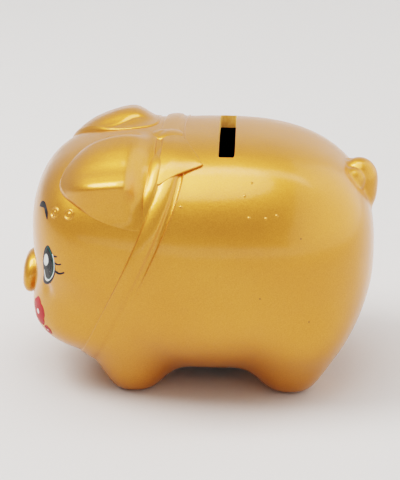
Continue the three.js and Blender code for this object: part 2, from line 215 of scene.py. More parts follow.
# A closed curve through corner points, sampled at even lengths.
def smoothOutline(corners, count, perCorner=24):
    points = np.array(corners, float)
    size = len(points)
    samples = []
    for i in range(size):
        p0, p1, p2, p3 = (points[(i + k - 1) % size] for k in range(4))
        knots = [0.0]
        for a, b in ((p0, p1), (p1, p2), (p2, p3)):
            knots.append(knots[-1] + max(np.linalg.norm(b - a), 1e-6) ** 0.5)
        for t in np.linspace(knots[1], knots[2], perCorner, endpoint=False):
            a1 = p0 + (p1 - p0) * (t - knots[0]) / (knots[1] - knots[0])
            a2 = p1 + (p2 - p1) * (t - knots[1]) / (knots[2] - knots[1])
            a3 = p2 + (p3 - p2) * (t - knots[2]) / (knots[3] - knots[2])
            b1 = a1 + (a2 - a1) * (t - knots[0]) / (knots[2] - knots[0])
            b2 = a2 + (a3 - a2) * (t - knots[1]) / (knots[3] - knots[1])
            samples.append(b1 + (b2 - b1) * (t - knots[1]) / (knots[2] - knots[1]))
    samples = np.array(samples)
    closed = np.vstack([samples, samples[:1]])
    lengths = np.concatenate([[0], np.cumsum(np.linalg.norm(np.diff(closed, axis=0), axis=1))])
    wanted = np.linspace(0, lengths[-1], count, endpoint=False)
    return np.stack([np.interp(wanted, lengths, closed[:, k]) for k in range(2)], 1)


def ovalOutline(width, height, count):
    turn = np.linspace(0, 2 * pi, count, endpoint=False)
    return np.stack([width / 2 * np.cos(turn), height / 2 * np.sin(turn)], 1)


padSet = {"sunk": 0.6, "ringSpread": 0.8, "edgeStep": 0.15}


# A ball pressed into a pad that lies on the skin: its upper half becomes the top over the
# outline, its lower half the underside, and its equator the rim. rise gives the top's height.
def padOnSkin(name, outline, rings, place, rise, sunk=padSet["sunk"]):
    clearSelection()
    columns = len(outline)
    bpy.ops.mesh.primitive_uv_sphere_add(segments=columns, ring_count=2 * rings, radius=1)
    obj = nameNew(name)
    ball = rawPoints(obj)
    middle = outline.mean(0)
    latitude = np.arcsin(np.clip(ball[:, 2], -1, 1))
    share = np.round(1 - np.abs(latitude) / (pi / 2), 6)
    column = np.round(np.arctan2(ball[:, 1], ball[:, 0]) / (2 * pi) * columns).astype(int) % columns
    share = np.sin(share * pi / 2) ** padSet["ringSpread"]
    underneath = ball[:, 2] < -1e-6
    firstUnder = underneath & (np.abs(latitude) < pi / 2 / rings * 1.5)
    share[firstUnder] = 1
    flat = middle + (outline[column] - middle) * share[:, None]
    height = np.where(underneath, -sunk, rise(share, flat[:, 0], flat[:, 1]))
    writePoints(obj, place(flat[:, 0], flat[:, 1], height))
    faceOutwards(obj)
    smoothByAngle(obj)
    return obj


def roundedEdge(share, thickness, lip):
    near = np.clip((share - (1 - lip)) / lip, 0, 1)
    step = padSet["edgeStep"]
    return thickness * np.sqrt(np.clip(1 - near**2, 0, 1)) * (1 - step) + thickness * step


cameraSet = {
    "aim": (0, 0, 0.049),
    "elevation": 22,
    "azimuth": 2,
    "distance": 0.74,
    "lens": 150.3,
    "sensor": 36,
    "nearest": 0.01,
}


def makeCamera():
    clearSelection()
    tilt, turn = radians(cameraSet["elevation"]), radians(cameraSet["azimuth"])
    back = Vector((sin(turn) * cos(tilt), -cos(turn) * cos(tilt), sin(tilt)))
    bpy.ops.object.camera_add(location=Vector(cameraSet["aim"]) + cameraSet["distance"] * back)
    camera = nameNew("studioCamera")
    camera.rotation_euler = back.to_track_quat("Z", "Y").to_euler()
    camera.data.lens = cameraSet["lens"]
    camera.data.sensor_width = cameraSet["sensor"]
    camera.data.clip_start = cameraSet["nearest"]
    bpy.context.scene.camera = camera


floorSet = {
    "halfWidth": 1.6,
    "front": -1.25,
    "back": 0.9,
    "rise": 1.3,
    "radius": 0.5,
    "strips": 40,
    "edgeAngle": 60,
    "roughness": 0.75,
    "grainScale": 900,
    "tones": ((0.66, 0.64, 0.625, 1), (0.70, 0.68, 0.665, 1)),
}


# A pale paper sweep: flat under the pig, curving up behind it.
def makeFloor():
    clearSelection()
    s = floorSet
    bpy.ops.mesh.primitive_grid_add(x_subdivisions=2, y_subdivisions=s["strips"], size=2)
    floor = nameNew("paperSweep")
    quarter = s["radius"] * pi / 2
    total = s["back"] - s["front"] + quarter + s["rise"]
    for vertex in floor.data.vertices:
        along = (vertex.co.y + 1) / 2 * total + s["front"]
        height = 0
        if along > s["back"]:
            bend = min((along - s["back"]) / s["radius"], pi / 2)
            height = s["radius"] * (1 - cos(bend))
            over = along - s["back"] - quarter
            if over > 0:
                height += over
            along = s["back"] + s["radius"] * sin(bend)
        vertex.co = (vertex.co.x * s["halfWidth"], along, height)
    smoothByAngle(floor, s["edgeAngle"])
    paper = bpy.data.materials.new("palePaper")
    paper.use_nodes = True
    nodes, links = paper.node_tree.nodes, paper.node_tree.links
    shader = nodes["Principled BSDF"]
    shader.inputs["Roughness"].default_value = s["roughness"]
    place = nodes.new("ShaderNodeTexCoord")
    grain = nodes.new("ShaderNodeTexNoise")
    grain.inputs["Scale"].default_value = s["grainScale"]
    tone = nodes.new("ShaderNodeValToRGB")
    for element, colour in zip(tone.color_ramp.elements, s["tones"]):
        element.color = colour
    links.new(place.outputs["Object"], grain.inputs["Vector"])
    links.new(grain.outputs["Fac"], tone.inputs["Fac"])
    links.new(tone.outputs["Color"], shader.inputs["Base Color"])
    floor.data.materials.append(paper)


lightSet = {
    "scrim": {
        "at": (-0.1, -0.12, 1.05),
        "aim": (0, 0, 0.05),
        "shape": "ELLIPSE",
        "size": (0.85, 0.9),
        "power": 3.1,
        "tint": (1, 0.99, 0.98),
    },
    "key": {
        "at": (-0.5, -0.05, 0.75),
        "aim": (0, 0, 0.05),
        "shape": "ELLIPSE",
        "size": (0.5, 0.5),
        "power": 3.4,
        "tint": (1, 0.99, 0.97),
    },
    "backWash": {
        "at": (0.1, 0.25, 1.3),
        "aim": (0, 1.3, 0.5),
        "shape": "RECTANGLE",
        "size": (1.6, 0.5),
        "power": 4.0,
        "tint": (0.99, 1, 1),
    },
}
roomSet = {"tone": (1, 1, 1), "strength": 0.25}
cardSet = {
    "outline": [(2.3, 0), (2.3, 2.4), (0.4, 2.05), (-0.53, 1.55), (-1.17, 1.03), (-1.62, 0.63), (-1.67, 0)],
    "x": 1.0,
    "white": (0.8, 0.8, 0.8, 1),
    "glow": 0.5,
    "boardY": -1.25,
    "boardHalf": 1.6,
    "boardHigh": 0.22,
}
filmSet = {"view": "Filmic", "look": "High Contrast", "exposure": 0.7}


# A white card stands to the tail's side, and a low board closes the floor behind the camera. Both glow
# faintly: painted light standing in for the light they bounce.
def makeCards():
    s = cardSet
    white = bpy.data.materials.new("glowingWhiteCard")
    white.use_nodes = True
    shader = white.node_tree.nodes["Principled BSDF"]
    shader.inputs["Base Color"].default_value = s["white"]
    # Emission on the card and board: painted bounce light.
    shader.inputs["Emission Color"].default_value = (1, 1, 1, 1)
    shader.inputs["Emission Strength"].default_value = s["glow"]
    clearSelection()
    bpy.ops.mesh.primitive_circle_add(vertices=len(s["outline"]), radius=1, fill_type="NGON")
    card = nameNew("sideCard")
    for vertex, (y, z) in zip(card.data.vertices, s["outline"]):
        vertex.co = (s["x"], y, z)
    clearSelection()
    bpy.ops.mesh.primitive_plane_add(size=2)
    board = nameNew("frontBoard")
    for vertex in board.data.vertices:
        vertex.co = (vertex.co.x * s["boardHalf"], s["boardY"], (vertex.co.y + 1) / 2 * s["boardHigh"])
    for piece in (card, board):
        piece.data.materials.append(white)


def makeLights():
    for name, s in lightSet.items():
        clearSelection()
        bpy.ops.object.light_add(type="AREA", location=s["at"])
        light = nameNew(name)
        light.data.shape = s["shape"]
        light.data.size, light.data.size_y = s["size"]
        light.data.energy = s["power"]
        light.data.color = s["tint"]
        light.rotation_euler = (Vector(s["at"]) - Vector(s["aim"])).to_track_quat("Z", "Y").to_euler()
    world = bpy.data.worlds.new("studioRoom")
    bpy.context.scene.world = world
    world.use_nodes = True
    backdrop = world.node_tree.nodes["Background"]
    backdrop.inputs["Color"].default_value = (*roomSet["tone"], 1)
    backdrop.inputs["Strength"].default_value = roomSet["strength"]


makeCamera()
makeFloor()
makeCards()
makeLights()
film = bpy.context.scene.view_settings
film.view_transform, film.look, film.exposure = filmSet["view"], filmSet["look"], filmSet["exposure"]
print("studio ready")


def newMaterial(name):
    material = bpy.data.materials.new(name)
    material.use_nodes = True
    nodes, links = material.node_tree.nodes, material.node_tree.links
    place = nodes.new("ShaderNodeTexCoord").outputs["Object"]
    return material, nodes, links, nodes["Principled BSDF"], place


def noiseOf(nodes, links, place, scale, detail):
    noise = nodes.new("ShaderNodeTexNoise")
    noise.inputs["Scale"].default_value = scale
    noise.inputs["Detail"].default_value = detail
    links.new(place, noise.inputs["Vector"])
    return noise.outputs["Fac"]


def rampOf(nodes, links, value, stops):
    ramp = nodes.new("ShaderNodeValToRGB")
    while len(ramp.color_ramp.elements) < len(stops):
        ramp.color_ramp.elements.new(0.5)
    for element, (position, colour) in zip(ramp.color_ramp.elements, stops):
        element.position = position
        element.color = (*colour, 1)
    links.new(value, ramp.inputs["Fac"])
    return ramp.outputs["Color"]


def rangeOf(nodes, links, value, low, high, toLow, toHigh):
    step = nodes.new("ShaderNodeMapRange")
    step.inputs["From Min"].default_value = low
    step.inputs["From Max"].default_value = high
    step.inputs["To Min"].default_value = toLow
    step.inputs["To Max"].default_value = toHigh
    links.new(value, step.inputs["Value"])
    return step.outputs["Result"]


def mathOf(nodes, links, operation, first, second):
    node = nodes.new("ShaderNodeMath")
    node.operation = operation
    for slot, value in zip(node.inputs, (first, second)):
        if isinstance(value, (int, float)):
            slot.default_value = value
        else:
            links.new(value, slot)
    return node.outputs[0]


def bumpOf(nodes, links, height, distance, strength, before=None):
    bump = nodes.new("ShaderNodeBump")
    bump.inputs["Distance"].default_value = distance
    bump.inputs["Strength"].default_value = strength
    links.new(height, bump.inputs["Height"])
    if before is not None:
        links.new(before, bump.inputs["Normal"])
    return bump.outputs["Normal"]


goldSet = {
    "tones": [(0.3, (0.57, 0.218, 0.027)), (0.5, (0.66, 0.27, 0.037)), (0.72, (0.74, 0.325, 0.052))],
    "metallic": 0.86,
    "roughness": (0.38, 0.5),
    "coat": 1.0,
    "coatRoughness": 0.16,
    "coatTint": (1, 0.97, 0.94),
    "coatIor": 1.43,
    "cloud": (26, 3),
    "cloudShare": 0.35,
    "flake": (2600, 1),
    "flakeShare": 0.65,
    "flakeRange": (0.25, 0.75),
    "grain": (1300, 2),
    "grainBump": (0.00005, 0.75),
    "drip": (120, 2),
    "dripBump": (0.0003, 0.2),
    "coatDripBump": (0.0003, 0.13),
    "pipBump": (0.0003, 0.8),
}
# Dust pips under the lacquer and brown specks in it, in millimetres about the pig's middle.
pipSpots = [
    (10.2, -37.3, 80.7),
    (11.7, -42.1, 74.4),
    (17.5, -41.6, 74.0),
    (21.3, -40.4, 74.7),
    (12.5, -33.3, 84.0),
    (-11.9, -40.1, 77.4),
]
speckSpots = [(29.7, -41.8, 66.8), (15.8, -47.3, 46.3), (33.1, -42.7, 35.7)]
spotSet = {"pipRadius": 0.55, "speckRadius": 0.42, "core": 0.3, "brown": (0.16, 0.07, 0.02)}


def spotMask(nodes, links, place, spots, radius):
    total = None
    for spot in spots:
        gap = nodes.new("ShaderNodeVectorMath")
        gap.operation = "DISTANCE"
        links.new(place, gap.inputs[0])
        gap.inputs[1].default_value = (np.array(spot) + pigShift) * mm
        core = spotSet["core"] * radius
        near = rangeOf(nodes, links, gap.outputs["Value"], core * mm, radius * mm, 1, 0)
        total = near if total is None else mathOf(nodes, links, "MAXIMUM", total, near)
    return total


def goldLacquer():
    s = goldSet
    material, nodes, links, shader, place = newMaterial("goldLacquer")
    cloud = noiseOf(nodes, links, place, *s["cloud"])
    flake = noiseOf(nodes, links, place, *s["flake"])
    cloudPart = mathOf(nodes, links, "MULTIPLY", cloud, s["cloudShare"])
    flakePart = mathOf(nodes, links, "MULTIPLY", flake, s["flakeShare"])
    colour = rampOf(nodes, links, mathOf(nodes, links, "ADD", cloudPart, flakePart), s["tones"])
    specks = spotMask(nodes, links, place, speckSpots, spotSet["speckRadius"])
    stain = nodes.new("ShaderNodeMix")
    stain.data_type = "RGBA"
    links.new(specks, stain.inputs["Factor"])
    links.new(colour, stain.inputs["A"])
    stain.inputs["B"].default_value = (*spotSet["brown"], 1)
    links.new(stain.outputs["Result"], shader.inputs["Base Color"])
    dullness = rangeOf(nodes, links, flake, *s["flakeRange"], *s["roughness"])
    links.new(dullness, shader.inputs["Roughness"])
    shader.inputs["Metallic"].default_value = s["metallic"]
    shader.inputs["Coat Weight"].default_value = s["coat"]
    shader.inputs["Coat Roughness"].default_value = s["coatRoughness"]
    shader.inputs["Coat Tint"].default_value = (*s["coatTint"], 1)
    shader.inputs["Coat IOR"].default_value = s["coatIor"]
    grain = noiseOf(nodes, links, place, *s["grain"])
    drip = noiseOf(nodes, links, place, *s["drip"])
    normal = bumpOf(nodes, links, grain, *s["grainBump"])
    normal = bumpOf(nodes, links, drip, *s["dripBump"], normal)
    pips = spotMask(nodes, links, place, pipSpots, spotSet["pipRadius"])
    normal = bumpOf(nodes, links, pips, *s["pipBump"], normal)
    links.new(normal, shader.inputs["Normal"])
    coatNormal = bumpOf(nodes, links, drip, *s["coatDripBump"])
    coatNormal = bumpOf(nodes, links, pips, *s["pipBump"], coatNormal)
    links.new(coatNormal, shader.inputs["Coat Normal"])
    return material


# The darkest and lightest tone of each printed colour, its roughness and the scale of its grain.
inkSet = {
    "black": {"tones": ((0.012, 0.013, 0.016), (0.03, 0.031, 0.035)), "rough": (0.25, 0.37), "grain": 300},
    "iris": {"tones": ((0.016, 0.018, 0.019), (0.042, 0.045, 0.048)), "rough": (0.23, 0.35), "grain": 420},
    "teal": {"tones": ((0.01, 0.07, 0.06), (0.02, 0.12, 0.1)), "rough": (0.25, 0.37), "grain": 300},
    "white": {"tones": ((0.62, 0.64, 0.63), (0.78, 0.79, 0.78)), "rough": (0.25, 0.37), "grain": 300},
    "red": {"tones": ((0.36, 0.006, 0.009), (0.5, 0.014, 0.017)), "rough": (0.25, 0.37), "grain": 300},
    "detail": 3,
    "specular": 0.2,
    "bump": (0.00003, 0.3),
}


def inkMaterial(key):
    s = inkSet[key]
    dark, light = s["tones"]
    material, nodes, links, shader, place = newMaterial(key + "Ink")
    speckle = noiseOf(nodes, links, place, s["grain"], inkSet["detail"])
    links.new(rampOf(nodes, links, speckle, [(0.35, dark), (0.65, light)]), shader.inputs["Base Color"])
    links.new(rangeOf(nodes, links, speckle, 0.3, 0.7, *s["rough"]), shader.inputs["Roughness"])
    shader.inputs["Specular IOR Level"].default_value = inkSet["specular"]
    links.new(bumpOf(nodes, links, speckle, *inkSet["bump"]), shader.inputs["Normal"])
    return material


# Plain matt stuffs: a mottle for colour and roughness, and a finer or coarser grain in relief.
mattSet = {
    # The stopper's rubber: near-black, painted shade for the dark under the belly; the plug's own colour is
    # not known.
    "rubberDarkAsPaintedShade": {
        "mottle": (160, 3),
        "tones": ((0.025, 0.021, 0.018), (0.05, 0.043, 0.037)),
        "roughness": (0.5, 0.65),
        "grain": (1500, 2),
        "bump": (0.00004, 0.4),
    },
    # Inside of the chamber: near-black, painted shade of the closed hollow rather than the clay's own
    # colour.
    "clayDarkAsPaintedShade": {
        "mottle": (90, 4),
        "tones": ((0.022, 0.018, 0.014), (0.045, 0.038, 0.03)),
        "roughness": (0.8, 0.95),
        "grain": (700, 3),
        "bump": (0.0002, 0.5),
    },
}


def mattMaterial(name):
    s = mattSet[name]
    dark, light = s["tones"]
    material, nodes, links, shader, place = newMaterial(name)
    mottle = noiseOf(nodes, links, place, *s["mottle"])
    links.new(rampOf(nodes, links, mottle, [(0.3, dark), (0.7, light)]), shader.inputs["Base Color"])
    links.new(rangeOf(nodes, links, mottle, 0.3, 0.7, *s["roughness"]), shader.inputs["Roughness"])
    grain = noiseOf(nodes, links, place, *s["grain"])
    links.new(bumpOf(nodes, links, grain, *s["bump"]), shader.inputs["Normal"])
    return material


slotWallLitSet = {
    # Paler tones than the lacquer: painted light for the shaded slot walls.
    "tones": [(0.3, (0.84, 0.47, 0.13)), (0.7, (1.0, 0.66, 0.26))],
    "mottle": (400, 3),
    "roughness": (0.5, 0.65),
    "metallic": 0.05,
    "stretch": (1, 0.2, 0.12),
    "scores": (1900, 3),
    "bump": (0.0004, 0.8),
}


# The slot's walls: paler and less metallic than the lacquer, which is painted light on walls that lie in
# shade; rougher, and scored along the knife cut.
def slotWallLitGold():
    s = slotWallLitSet
    material, nodes, links, shader, place = newMaterial("slotWallLitGold")
    mottle = noiseOf(nodes, links, place, *s["mottle"])
    links.new(rampOf(nodes, links, mottle, s["tones"]), shader.inputs["Base Color"])
    links.new(rangeOf(nodes, links, mottle, 0.3, 0.7, *s["roughness"]), shader.inputs["Roughness"])
    shader.inputs["Metallic"].default_value = s["metallic"]
    stretch = nodes.new("ShaderNodeMapping")
    stretch.inputs["Scale"].default_value = s["stretch"]
    links.new(place, stretch.inputs["Vector"])
    scores = noiseOf(nodes, links, stretch.outputs["Vector"], *s["scores"])
    links.new(bumpOf(nodes, links, scores, *s["bump"]), shader.inputs["Normal"])
    return material


gold = goldLacquer()
slotWallLitFinish = slotWallLitGold()
inkNames = ("black", "iris", "teal", "white", "red")
blackInk, irisInk, tealInk, whiteInk, redInk = (inkMaterial(key) for key in inkNames)
stopperShadeRubber = mattMaterial("rubberDarkAsPaintedShade")
chamberShadeClay = mattMaterial("clayDarkAsPaintedShade")
print("finishes mixed")


def finishPiece(piece, body, material, replaced=()):
    piece.data.materials.clear()
    piece.data.materials.append(material)
    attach(piece, body)
    if replaced:
        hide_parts(*replaced)


bodySet = {
    "wall": 4.5,
    "footRound": 2.2,
    "seedRadius": 20,
    "firstDetail": 4,
    "skinDetail": 7,
    "chamberDetail": 6,
    "refineRounds": 12,
    "slotLength": 46,
    "slotWidth": 5.3,
    "slotBack": 3.3,
    "slotLip": 0.45,
    "slotSquareness": 14,
    "slotColumns": 160,
    "lipWidths": (1, 1, 0.3, 0.08, 0, 0, 0),
    "lipDrops": (0.3, 0.7, 1.4),
    "cutterEnds": (6, 0.02, -3, -14),
    "holeRadius": 14,
    "holeTop": 24,
    "seatRadius": 17.1,
    "seatTop": 7.6,
    "cutFrom": -2,
    "cutColumns": 96,
    "edgeAngle": 42,
    "dimple": {"at": (-61.2, -28.7, 40.9), "deep": 1.0, "wide": 2.7},
    "weld": 0.02,
}


# The skin with softly rounded foot pads standing on the ground.
def standingSkin(points):
    distance = skinDistance(points)
    ground = -points[:, 2]
    return -softUnion(-distance, -ground, bodySet["footRound"])


def chamberField(points):
    return np.maximum(skinDistance(points), -points[:, 2]) + bodySet["wall"]


# An icosphere swollen out to a field, refined step by step.
def swollenBall(name, field, detail):
    s = bodySet
    clearSelection()
    bpy.ops.mesh.primitive_ico_sphere_add(subdivisions=s["firstDetail"], radius=s["seedRadius"] * mm)
    obj = nameNew(name)
    writePoints(obj, alongRays(field, bodyCore, unit(rawPoints(obj)), 0.0))
    for _ in range(detail - s["firstDetail"]):
        bpy.ops.object.mode_set(mode="EDIT")
        bpy.ops.mesh.select_all(action="SELECT")
        bpy.ops.mesh.subdivide(number_cuts=1, smoothness=0)
        bpy.ops.object.mode_set(mode="OBJECT")
        points = readPoints(obj) - bodyCore
        near = np.linalg.norm(points, axis=1) + 1
        writePoints(obj, alongRays(field, bodyCore, unit(points), 0.0, near, s["refineRounds"]))
    return obj


def skinHeightAt(x, y):
    origins = np.stack([x, y, np.full_like(x, 60.0)], 1)
    up = np.tile([0.0, 0.0, 1.0], (len(x), 1))
    return alongRays(skinDistance, origins, up, 0.0, 60.0)[:, 2]


# The slot's cutter follows the skin, so its mouth keeps one small round lip all along.
def slotCutter():
    s = bodySet
    clearSelection()
    bpy.ops.mesh.primitive_cylinder_add(
        vertices=s["slotColumns"], radius=1, depth=1, end_fill_type="NGON"
    )
    cutter = nameNew("slotCutter")
    bpy.ops.object.mode_set(mode="EDIT")
    bpy.ops.mesh.select_all(action="DESELECT")
    bpy.ops.object.mode_set(mode="OBJECT")
    for edge in cutter.data.edges:
        a, b = (cutter.data.vertices[i].co for i in edge.vertices)
        edge.select = abs(a.z - b.z) > 0.5
    bpy.ops.object.mode_set(mode="EDIT")
    bpy.ops.mesh.subdivide_edgering(number_cuts=len(s["lipWidths"]) - 2, smoothness=0)
    bpy.ops.object.mode_set(mode="OBJECT")
    points = rawPoints(cutter)
    ring = np.round((0.5 - points[:, 2]) * (len(s["lipWidths"]) - 1)).astype(int)
    lip, halfWidth, halfLength = s["slotLip"], s["slotWidth"] / 2, s["slotLength"] / 2
    widen = np.array([lip * share for share in s["lipWidths"]])[ring]
    top, skin, low, end = s["cutterEnds"]
    drop = np.array([top, skin, *(-share * lip for share in s["lipDrops"]), low, end])[ring]
    turn = np.arctan2(points[:, 1], points[:, 0])
    square = s["slotSquareness"]
    reach = (np.abs(np.cos(turn)) ** square + np.abs(np.sin(turn)) ** square) ** (-1 / square)
    across = np.cos(turn) * reach * halfWidth
    along = np.sin(turn) * reach * halfLength
    x = s["slotBack"] + across + np.sign(across) * widen * np.minimum(1, np.abs(across) / halfWidth + 0.001)
    y = along + np.sign(along) * widen * np.minimum(1, np.abs(along) / halfLength)
    z = skinHeightAt(x, y) + drop
    writePoints(cutter, np.stack([x, y, z], 1))
    faceOutwards(cutter)
    return cutter


def discCutter(name, radius, low, high):
    clearSelection()
    at = ((pigShift[0] - pigMiddle["stopperForward"]) * mm, 0, (low + high) / 2 * mm)
    bpy.ops.mesh.primitive_cylinder_add(
        vertices=bodySet["cutColumns"], radius=radius * mm, depth=(high - low) * mm, location=at
    )
    cutter = nameNew(name)
    bpy.ops.object.transform_apply(location=True, rotation=True, scale=True)
    return cutter


# The cut faces take the cutter's finish.
def cutAway(obj, cutter):
    settings = {"operation": "DIFFERENCE", "solver": "EXACT", "object": cutter, "material_mode": "TRANSFER"}
    applyModifier(obj, "BOOLEAN", **settings)
    bpy.data.objects.remove(cutter)


# Joins the hair-thin corners that the cuts leave behind.
def weldSlivers(obj):
    pickOnly(obj)
    bpy.ops.object.mode_set(mode="EDIT")
    bpy.ops.mesh.select_all(action="SELECT")
    bpy.ops.mesh.quads_convert_to_tris()
    bpy.ops.mesh.remove_doubles(threshold=bodySet["weld"] * mm)
    bpy.ops.mesh.dissolve_degenerate(threshold=bodySet["weld"] / 2 * mm)
    bpy.ops.mesh.delete_loose(use_verts=True, use_edges=True, use_faces=False)
    bpy.ops.object.mode_set(mode="OBJECT")


def bodyShell():
    s = bodySet
    shell = swollenBall("potteryBody", standingSkin, s["skinDetail"])
    points = readPoints(shell)
    dimple = s["dimple"]
    for side in (1, -1):
        gap = points - np.array(dimple["at"]) * (1, side, 1)
        pull = dimple["deep"] * np.exp(-(gap**2).sum(1) / dimple["wide"] ** 2)
        points += unit(faceCore - points) * pull[:, None]
    writePoints(shell, points)
    shell.data.materials.append(gold)
    chamber = swollenBall("chamber", chamberField, s["chamberDetail"])
    # The chamber's faces take the near-black clay, painted shade inside the bank.
    chamber.data.materials.append(chamberShadeClay)
    cutAway(shell, chamber)
    mouth = slotCutter()
    mouth.data.materials.append(slotWallLitFinish)
    cutAway(shell, mouth)
    for name, key in (("plugHole", "hole"), ("plugSeat", "seat")):
        cutter = discCutter(name, s[key + "Radius"], s["cutFrom"], s[key + "Top"])
        cutter.data.materials.append(gold)
        cutAway(shell, cutter)
    weldSlivers(shell)
    smoothByAngle(shell, s["edgeAngle"])
    return shell


body = bodyShell()
print("body", len(body.data.polygons), "faces, materials", [m.name for m in body.data.materials])
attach(body, "bank")
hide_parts("body_shell")


earSet = {
    "rear": -23.4,
    "front": -55.5,
    "rings": 64,
    "columns": 176,
    "outline": [
        (-0.03, 8), (0.06, 3.5), (0.3, 3.5), (0.55, 8.5), (0.74, 18), (0.88, 28), (0.98, 40), (1.0, 48),
        (0.94, 55), (0.8, 61), (0.6, 67), (0.35, 71), (0.1, 72.5), (-0.04, 69), (-0.06, 50), (-0.05, 28),
    ],
    "rim": {
        "turns": (3, 8, 13, 18, 22, 26, 34, 40, 46, 54, 62),
        "shape": (0, 0.09, 0.33, 0.74, 0.95, 1, 0.93, 0.72, 0.45, 0.2, 0),
        "stations": (-0.06, 0, 0.07, 0.14, 0.2, 0.28, 0.4, 0.55, 0.75, 0.9, 1.0),
        "lifts": (0, 0.3, 1.5, 2.9, 3.8, 4.4, 4.3, 3.4, 2.0, 0.9, 0.2),
    },
    "ridge": {
        "turns": (24, 32, 40, 46.5, 51, 54.3, 56.2, 57.8, 60, 63, 67, 70.5, 73),
        "shape": (0, 0.08, 0.28, 0.54, 0.8, 0.98, 0.99, 0.84, 0.63, 0.43, 0.2, 0.05, 0),
        "stations": (-0.06, 0, 0.08, 0.14, 0.2, 0.245, 0.28, 0.45, 0.6, 0.75, 0.87, 0.95, 1.0),
        "lifts": (0, 0.25, 1.0, 2.6, 5.2, 6.8, 7.1, 6.9, 6.3, 5.2, 3.7, 2.1, 0.4),
    },
    "crease": {"turn": 12.0, "width": 1.1, "depth": 0.45, "starts": (0.1, 0.22), "stops": (0.6, 0.72)},
    "creaseBend": {"sway": 3.5, "speed": 9, "lean": 4, "straightAt": 0.3},
    "lip": {"least": 0.45, "more": 0.65, "starts": (0.3, 0.75), "lowThinning": 0.8, "width": 0.045},
    "lowEdge": {"turns": (54, 66), "stations": (0.6, 0.85)},
    "bead": {"height": 0.2, "at": 0.965, "width": 0.012},
    "endFade": 8,
}


# A soft curve through given values, with flat ends.
def easedCurve(value, at, heights):
    at, heights = np.array(at, float), np.array(heights, float)
    slopes = np.gradient(heights, at)
    slopes[0] = slopes[-1] = 0
    value = np.clip(value, at[0], at[-1])
    k = np.clip(np.searchsorted(at, value) - 1, 0, len(at) - 2)
    gap = at[k + 1] - at[k]
    t = (value - at[k]) / gap
    stay = (1 + 2 * t) * (1 - t) ** 2 * heights[k] + t * t * (3 - 2 * t) * heights[k + 1]
    return stay + t * (1 - t) ** 2 * gap * slopes[k] + t * t * (t - 1) * gap * slopes[k + 1]


def makeEar(name):
    s = earSet
    long = s["front"] - s["rear"]
    outline = smoothOutline([(s["rear"] + a * long, turn) for a, turn in s["outline"]], s["columns"])
    crease, bend, lip, low, bead = (s[key] for key in ("crease", "creaseBend", "lip", "lowEdge", "bead"))

    def rise(share, x, turn):
        a = (x - s["rear"]) / long
        lift = 0
        for part in (s["rim"], s["ridge"]):
            across = easedCurve(turn, part["turns"], part["shape"])
            lift = lift + across * easedCurve(a, part["stations"], part["lifts"])
        wave = crease["turn"] + bend["sway"] * np.sin(a * bend["speed"])
        wave = wave + bend["lean"] * (a - bend["straightAt"])
        run = smoothStep(*crease["starts"], a) * (1 - smoothStep(*crease["stops"], a))
        lift = lift - crease["depth"] * run * np.exp(-(((turn - wave) / crease["width"]) ** 2))
        lowEdge = smoothStep(*low["turns"], turn) * (1 - smoothStep(*low["stations"], a))
        edge = lip["least"] + lip["more"] * smoothStep(*lip["starts"], a)
        edge = edge * (1 - lip["lowThinning"] * lowEdge)
        swell = np.exp(-(((share - bead["at"]) / bead["width"]) ** 2))
        lift = lift + bead["height"] * (1 - lowEdge) * swell
        return np.clip(lift * (1 - share ** s["endFade"]), 0, None) + roundedEdge(share, edge, lip["width"])

    return padOnSkin(name, outline, s["rings"], placeAround, rise)


earLeft = makeEar("earLeft")
earRight = mirrored(earLeft, "earRight")
finishPiece(earLeft, "bank", gold, ["ear_left"])
finishPiece(earRight, "bank", gold, ["ear_right"])
print("ears")


snoutSet = {
    "rings": 40,
    "columns": 128,
    "width": 20,
    "height": 14.5,
    "thickness": 4.7,
    "rimShare": 0.2,
    "roundness": 3,
    "sunk": 0.8,
    "aim": (-67.7, 0, 37.3),
    "nostril": {"spread": 4.4, "depth": 2.0, "half": (1.7, 2.6), "edge": (0.5, 1.15)},
}


def makeSnout():
    s = snoutSet
    outline = ovalOutline(s["width"], s["height"], s["columns"])
    nostril = s["nostril"]

    def rise(share, u, v):
        dome = np.sqrt(np.clip(1 - share ** s["roundness"], 0, 1))
        crown = s["thickness"] * (s["rimShare"] + (1 - s["rimShare"]) * dome)
        for side in (-1, 1):
            halfWidth, halfHeight = nostril["half"]
            far = np.sqrt(((u - side * nostril["spread"]) / halfWidth) ** 2 + (v / halfHeight) ** 2)
            crown = crown - nostril["depth"] * (1 - smoothStep(*nostril["edge"], far))
        return crown

    return padOnSkin("snoutDisc", outline, s["rings"], placeFacing(s["aim"]), rise, s["sunk"])


snout = makeSnout()
finishPiece(snout, "bank", gold, ["snout"])
print("snout")


bandSet = {
    "width": 8.6,
    "thickness": 1.35,
    "forward": 32.6,
    "lean": 0.44,
    "topPull": 5,
    "rollWidth": 4.2,
    "rollHeight": 1.9,
    "fadeFrom": 62,
    "fadeTo": 105,
    "lowHeight": 0.32,
    "around": 420,
    "across": 112,
    "axisHeight": 44.1,
    "sunk": 0.7,
    "edgeAngle": 50,
    "crownPower": 6,
    "crownThinning": 0.72,
    "farSideLater": 18,
    "rollStarts": (17, 33),
    "rollStops": (42, 62),
    "frontRound": 0.05,
    "rearFall": (0.1, 0.34),
    "edgeShare": 0.03,
    "arch": {"top": 1.25, "drop": 0.495, "middle": -0.16, "reach": 0.34},
    "bead": {"height": 0.34, "at": 0.46, "width": 0.025},
    "rollLap": {"shift": 0.3, "spread": 0.5, "ends": -0.4},
}


